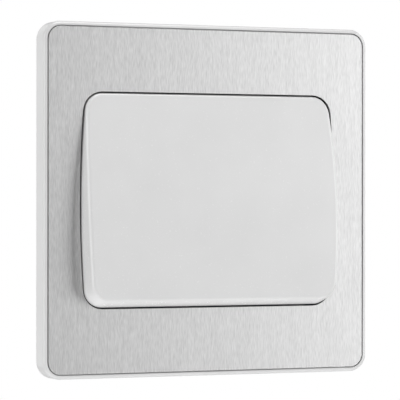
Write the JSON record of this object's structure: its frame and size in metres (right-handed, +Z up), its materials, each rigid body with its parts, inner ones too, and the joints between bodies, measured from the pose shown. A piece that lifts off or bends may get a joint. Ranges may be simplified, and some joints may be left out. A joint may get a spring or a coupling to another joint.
{
  "type": "rocker light switch",
  "caption": "Square wall plate in brushed steel with a white moulded surround and one wide convex rocker that tips up and down to switch a light.",
  "frame": {"origin": "midway between the two box-screw slots, on the wall's surface", "axes": "+X to the right and +Z up as seen from the front, +Y into the wall"},
  "size_m": [0.095, 0.0301, 0.095],
  "materials": {
    "white_surround": "satin moulded",
    "brushed_steel_skin": "brushed upright",
    "white_rocker": "satin moulded",
    "dark_moulding": "moulded",
    "grey_moulding": "moulded",
    "pale_grey_moulding": "moulded",
    "white_acetal": "moulded",
    "spring_steel": "drawn",
    "zinc_plated_steel": "bright zinc plate",
    "plated_rivet": "bright zinc plate",
    "copper_strip": "rolled",
    "silver_contact": "coined",
    "brass": "machined",
    "plated_screw": "bright zinc plate"
  },
  "bodies": {
    "wall_body": {"surround_frame": "white_surround", "carrier_frame": "dark_moulding", "steel_faceplate": "brushed_steel_skin", "mounting_yoke": "zinc_plated_steel", "mechanism_cover": "grey_moulding", "mechanism_housing": "pale_grey_moulding", "housing_rivets": "plated_rivet", "common_terminal": "brass", "line_one_terminal": "brass", "line_two_terminal": "brass", "fixed_contact_tips": "silver_contact", "terminal_screws": "plated_screw", "earth_terminal": "brass", "earth_screw": "plated_screw", "earth_contact_strip": "spring_steel"},
    "rocker": {"rocker_paddle": "white_rocker", "rocker_cradle": "grey_moulding", "plunger_spring": "spring_steel"},
    "plunger": {"plunger": "white_acetal"},
    "seesaw": {"contact_seesaw": "copper_strip", "moving_contact_tips": "silver_contact"}
  },
  "joints": [
    {"name": "rocker_pivot", "type": "hinge", "parent": "wall_body", "child": "rocker", "pos_m": [0, 0, 0], "axis": [1, 0, 0], "range_deg": [0, 12]},
    {"name": "plunger_slide", "type": "slide", "parent": "rocker", "child": "plunger", "axis": [0, -0.9945, 0.1045], "range_m": [0, 0.001], "stiffness_N_per_m": 400, "deforming": ["plunger_spring"]},
    {"name": "seesaw_pivot", "type": "hinge", "parent": "wall_body", "child": "seesaw", "pos_m": [0, 0.01, 0], "axis": [1, 0, 0], "range_deg": [-16, 0]}
  ],
  "couplings": [
    {"joint": "seesaw_pivot", "follows": "rocker_pivot", "ratio": -1.3333}
  ]
}
